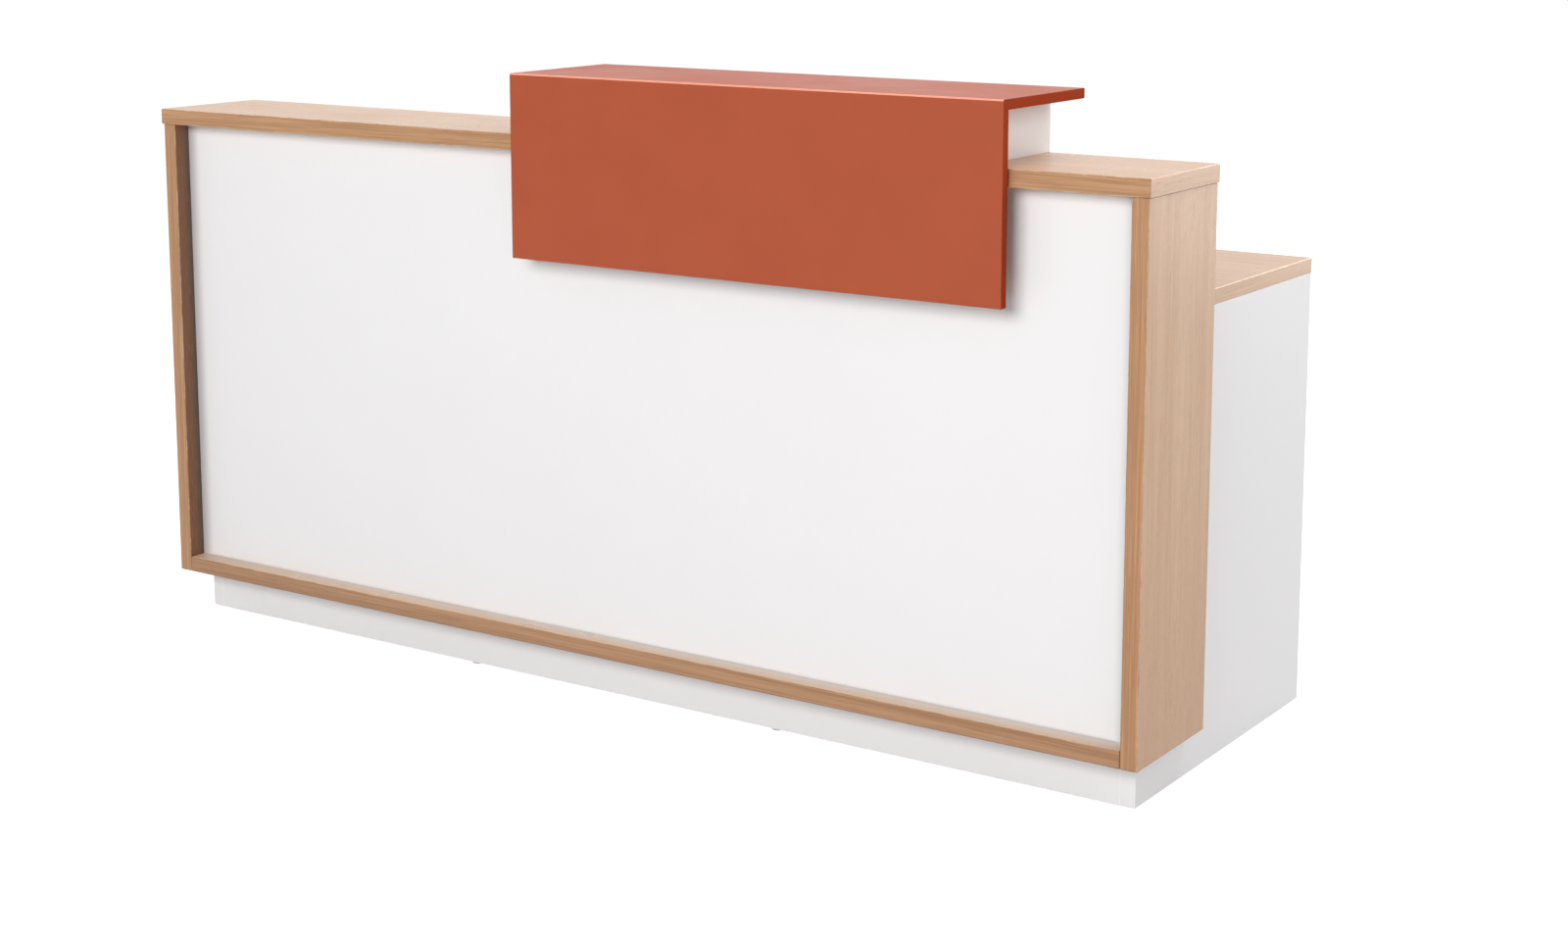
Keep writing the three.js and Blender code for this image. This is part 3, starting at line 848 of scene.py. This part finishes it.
# %% [markdown]
# ## Geometry helpers
# Screws, cover caps and threads repeat, so each is described once, as a tree of geometry nodes. A few points
# say where the copies go and which way each one looks. Copies made this way can be resized in one place, and
# in the end they become one plain mesh.

# %% Geometry helpers
GOLDEN_ANGLE = 2.39996
SHARP_FROM = math.radians(40)


def new_shape(name, inputs):
    """A geometry node tree: the tree, its named inputs and the socket for its result."""
    tree = bpy.data.node_groups.new(name, "GeometryNodeTree")
    sockets = [("Points", "NodeSocketGeometry", None), ("Finish", "NodeSocketMaterial", None)]
    sockets += [(label, "NodeSocketFloat", value) for label, value in inputs.items()]
    for label, kind, value in sockets:
        socket = tree.interface.new_socket(label, in_out="INPUT", socket_type=kind)
        if value is not None:
            socket.default_value = value
    tree.interface.new_socket("Geometry", in_out="OUTPUT", socket_type="NodeSocketGeometry")
    return tree, tree.nodes.new("NodeGroupInput").outputs, tree.nodes.new("NodeGroupOutput").inputs[0]


def step(tree, kind, settings=None, **values):
    """One geometry node: its own settings, then its sockets, with spaces written as underscores."""
    made = tree.nodes.new(kind)
    for name, value in (settings or {}).items():
        setattr(made, name, value)
    for name, value in values.items():
        feed(tree, made.inputs[name.replace("_", " ")], value)
    return made.outputs[0]


def spread_copies(tree, given, result, single):
    """Puts a copy on every point, turned to look along its facing, and makes plain mesh of them all."""
    facing = step(tree, "GeometryNodeInputNamedAttribute", {"data_type": "FLOAT_VECTOR"}, Name="facing")
    turn = step(tree, "FunctionNodeAlignRotationToVector", {"axis": "Z"}, Vector=facing)
    seats = {"Points": given["Points"], "Rotation": turn}
    copies = step(tree, "GeometryNodeInstanceOnPoints", Instance=single, **seats)
    angle = calc(tree, "MULTIPLY", step(tree, "GeometryNodeInputIndex"), GOLDEN_ANGLE)
    spin = step(tree, "FunctionNodeEulerToRotation", Euler=combine(tree, 0.0, 0.0, angle))
    copies = step(tree, "GeometryNodeRotateInstances", Instances=copies, Rotation=spin)
    solid = step(tree, "GeometryNodeRealizeInstances", Geometry=copies)
    solid = step(tree, "GeometryNodeSetShadeSmooth", Geometry=solid)
    sharp = calc(tree, "GREATER_THAN", step(tree, "GeometryNodeInputMeshEdgeAngle"), SHARP_FROM)
    crisp = {"Selection": sharp, "Shade_Smooth": False}
    solid = step(tree, "GeometryNodeSetShadeSmooth", {"domain": "EDGE"}, Geometry=solid, **crisp)
    tree.links.new(step(tree, "GeometryNodeSetMaterial", Geometry=solid, Material=given["Finish"]), result)


def make_piece(name, shape, finish, body, places, **sizes):
    """One plain mesh of copies at (place, facing) pairs; it rides a body, and its finish says its slot."""
    points = bpy.data.meshes.new(name)
    points.from_pydata([place for place, _ in places], [], [])
    facings = points.attributes.new("facing", "FLOAT_VECTOR", "POINT")
    facings.data.foreach_set("vector", [value for _, facing in places for value in facing])
    piece = bpy.data.objects.new(name, points)
    scene.collection.objects.link(piece)
    maker = piece.modifiers.new("shape", "NODES")
    maker.node_group = shape
    keys = {item.name: item.identifier for item in shape.interface.items_tree if item.in_out == "INPUT"}
    maker[keys["Finish"]] = hardware[finish]
    for label, value in sizes.items():
        maker[keys[label.replace("_", " ")]] = value
    shown = piece.evaluated_get(bpy.context.evaluated_depsgraph_get())
    solid = bpy.data.meshes.new_from_object(shown)
    piece.modifiers.remove(maker)
    piece.data = solid
    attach(piece, body)
    print(f"{name}: {len(places)} on {body}, {len(solid.polygons)} faces")


print("geometry helpers ready")

# %% [markdown]
# ## A round head with a cross
# A pan head is a dome with a cross pressed into it. The dome is swept: a circle runs up the screw's axis and
# shrinks as it rises. Two bars, laid across each other, are then cut out of it. With a wide and flat dome the
# same tree makes the cover caps of the cam fittings, which have a cross to lift them by.

# %% Round head
SCREW_SIZES = {
    "Radius": 0.0042,
    "Height": 0.0026,
    "Cross Length": 0.0044,
    "Cross Width": 0.001,
    "Cross Depth": 0.0014,
}
DOME_STEPS = 10
DOME_SIDES = 28
DOME_RISE = 0.97
DOME_FULLNESS = 2.6


def build_round_head():
    tree, given, result = new_shape("round_head", SCREW_SIZES)
    top = combine(tree, 0.0, 0.0, given["Height"])
    axis = step(tree, "GeometryNodeCurvePrimitiveLine", End=top)
    axis = step(tree, "GeometryNodeResampleCurve", Curve=axis, Count=DOME_STEPS)
    rise = calc(tree, "MULTIPLY", step(tree, "GeometryNodeSplineParameter"), DOME_RISE)
    fullness = calc(tree, "SQRT", calc(tree, "SUBTRACT", 1.0, calc(tree, "POWER", rise, DOME_FULLNESS)))
    rim = step(tree, "GeometryNodeCurvePrimitiveCircle", Resolution=DOME_SIDES, Radius=given["Radius"])
    sweep = {"Profile_Curve": rim, "Scale": fullness, "Fill_Caps": True}
    dome = step(tree, "GeometryNodeCurveToMesh", Curve=axis, **sweep)
    cut = tree.nodes.new("GeometryNodeMeshBoolean")
    tree.links.new(dome, cut.inputs["Mesh 1"])
    bar_height = calc(tree, "MULTIPLY", given["Cross Depth"], 2.0)
    for width, length in (("Cross Width", "Cross Length"), ("Cross Length", "Cross Width")):
        bar = step(tree, "GeometryNodeMeshCube", Size=combine(tree, given[width], given[length], bar_height))
        bar = step(tree, "GeometryNodeTransform", Geometry=bar, Translation=top)
        tree.links.new(bar, cut.inputs["Mesh 2"])
    spread_copies(tree, given, result, cut.outputs["Mesh"])
    return tree


round_head = build_round_head()
print(f"{round_head.name}: {len(round_head.nodes)} nodes")

# %% [markdown]
# ## Screws
# Every steel angle is held by four screws, two up into the board over it and two into the front panel, and
# each plate of the beam by four into its end panel. The places follow from the boxes of the pieces.

# %% Screws
HEAD_SINK = 0.0001
ANGLE_HOLE = 0.026
ANGLE_STEEL = 0.003
ANGLE_SPACING = 0.032
PLATE_INSET = 0.007
PLATE_LOW = 0.014


def angle_screws(node):
    (left, front, _), (right, _, top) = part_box(node)
    middle = (left + right) / 2
    places = []
    for x in (middle - ANGLE_SPACING / 2, middle + ANGLE_SPACING / 2):
        places.append(((x, front + ANGLE_HOLE, top - ANGLE_STEEL + HEAD_SINK), (0, 0, -1)))
        places.append(((x, front + ANGLE_STEEL - HEAD_SINK, top - ANGLE_HOLE), (0, 1, 0)))
    return places


def plate_screws(node):
    (left, front, bottom), (right, back, top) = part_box(node)
    inward = -1 if left > 0 else 1
    face = left if left > 0 else right
    heights = (bottom + PLATE_INSET, top - PLATE_LOW)
    depths = (front + PLATE_INSET, back - PLATE_INSET)
    return [((face - inward * HEAD_SINK, y, z), (inward, 0, 0)) for y in depths for z in heights]


screw_places = []
for name in nodes:
    if "_bracket_" in name:
        screw_places += angle_screws(name)
    elif name.startswith("beam_plate_"):
        screw_places += plate_screws(name)
make_piece("screws", round_head, "zinc_steel", "desk", screw_places)

# %% [markdown]
# ## Cover caps
# The boards are pulled together by cam fittings, which sit in round pockets on the inner faces. White caps
# cover them: on the end panels towards the front panel and the worktop, and on the riser under the shelf.

# %% Cover caps
CAP_SIZES = {
    "Radius": 0.0088,
    "Height": 0.0014,
    "Cross_Length": 0.005,
    "Cross_Width": 0.0009,
    "Cross_Depth": 0.0007,
}
CAM_INSET = 0.034
RISER_CAM_INSET = 0.024
LOW_CAM = 0.3
HIGH_CAM = 0.8
WORKTOP_CAMS = (0.35, 0.7)
SHELF_CAMS = (0.35, 0.8)


def caps_on(node, places):
    """Caps on the inner face of a standing board, at (y, z)."""
    (left, _, _), (right, _, _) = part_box(node)
    inward = 1 if node.endswith("left") else -1
    face = right if inward > 0 else left
    return [((face - inward * HEAD_SINK, y, z), (inward, 0, 0)) for y, z in places]


def row_under_top(node, shares, inset):
    """Places in a row under a board's top edge, at shares of its depth."""
    (_, front, _), (_, back, top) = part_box(node)
    return [(front + share * (back - front), top - inset) for share in shares]


cap_places = []
for side in ("left", "right"):
    panel = f"end_panel_{side}"
    riser = f"riser_{side}"
    (_, front, bottom), (_, _, top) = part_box(panel)
    heights = (bottom + LOW_CAM * top, HIGH_CAM * top)
    cap_places += caps_on(panel, [(front + CAM_INSET, height) for height in heights])
    cap_places += caps_on(panel, row_under_top(panel, WORKTOP_CAMS, CAM_INSET))
    cap_places += caps_on(riser, row_under_top(riser, SHELF_CAMS, RISER_CAM_INSET))
make_piece("cover_caps", round_head, "white_plastic", "desk", cap_places, **CAP_SIZES)

# %% [markdown]
# ## Threads
# The stems of the feet are screws. A thread is a ridge that climbs round the stem: a helix with a small round
# section swept along it. It stays a tenth of a millimetre inside the bore of the socket.

# %% Threads
THREAD_SIZES = {"Radius": 0.00386, "Ridge": 0.0003, "Pitch": 0.00125, "Length": 0.0215}
THREAD_FROM = 0.0042
HELIX_STEPS = 20
RIDGE_SIDES = 6


def build_thread():
    tree, given, result = new_shape("thread", THREAD_SIZES)
    turns = calc(tree, "DIVIDE", given["Length"], given["Pitch"])
    climb = {"Rotations": turns, "Height": given["Length"]}
    radii = {"Start_Radius": given["Radius"], "End_Radius": given["Radius"]}
    helix = step(tree, "GeometryNodeCurveSpiral", Resolution=HELIX_STEPS, **climb, **radii)
    ridge = step(tree, "GeometryNodeCurvePrimitiveCircle", Resolution=RIDGE_SIDES, Radius=given["Ridge"])
    swept = step(tree, "GeometryNodeCurveToMesh", Curve=helix, Profile_Curve=ridge, Fill_Caps=True)
    spread_copies(tree, given, result, swept)
    return tree


thread = build_thread()
for name in frame["bodies"]:
    if name.startswith("foot_"):
        low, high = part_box(name)
        place = ((low[0] + high[0]) / 2, (low[1] + high[1]) / 2, THREAD_FROM)
        make_piece(f"thread_{name}", thread, "zinc_steel", name, [(place, (0, 0, 1))])
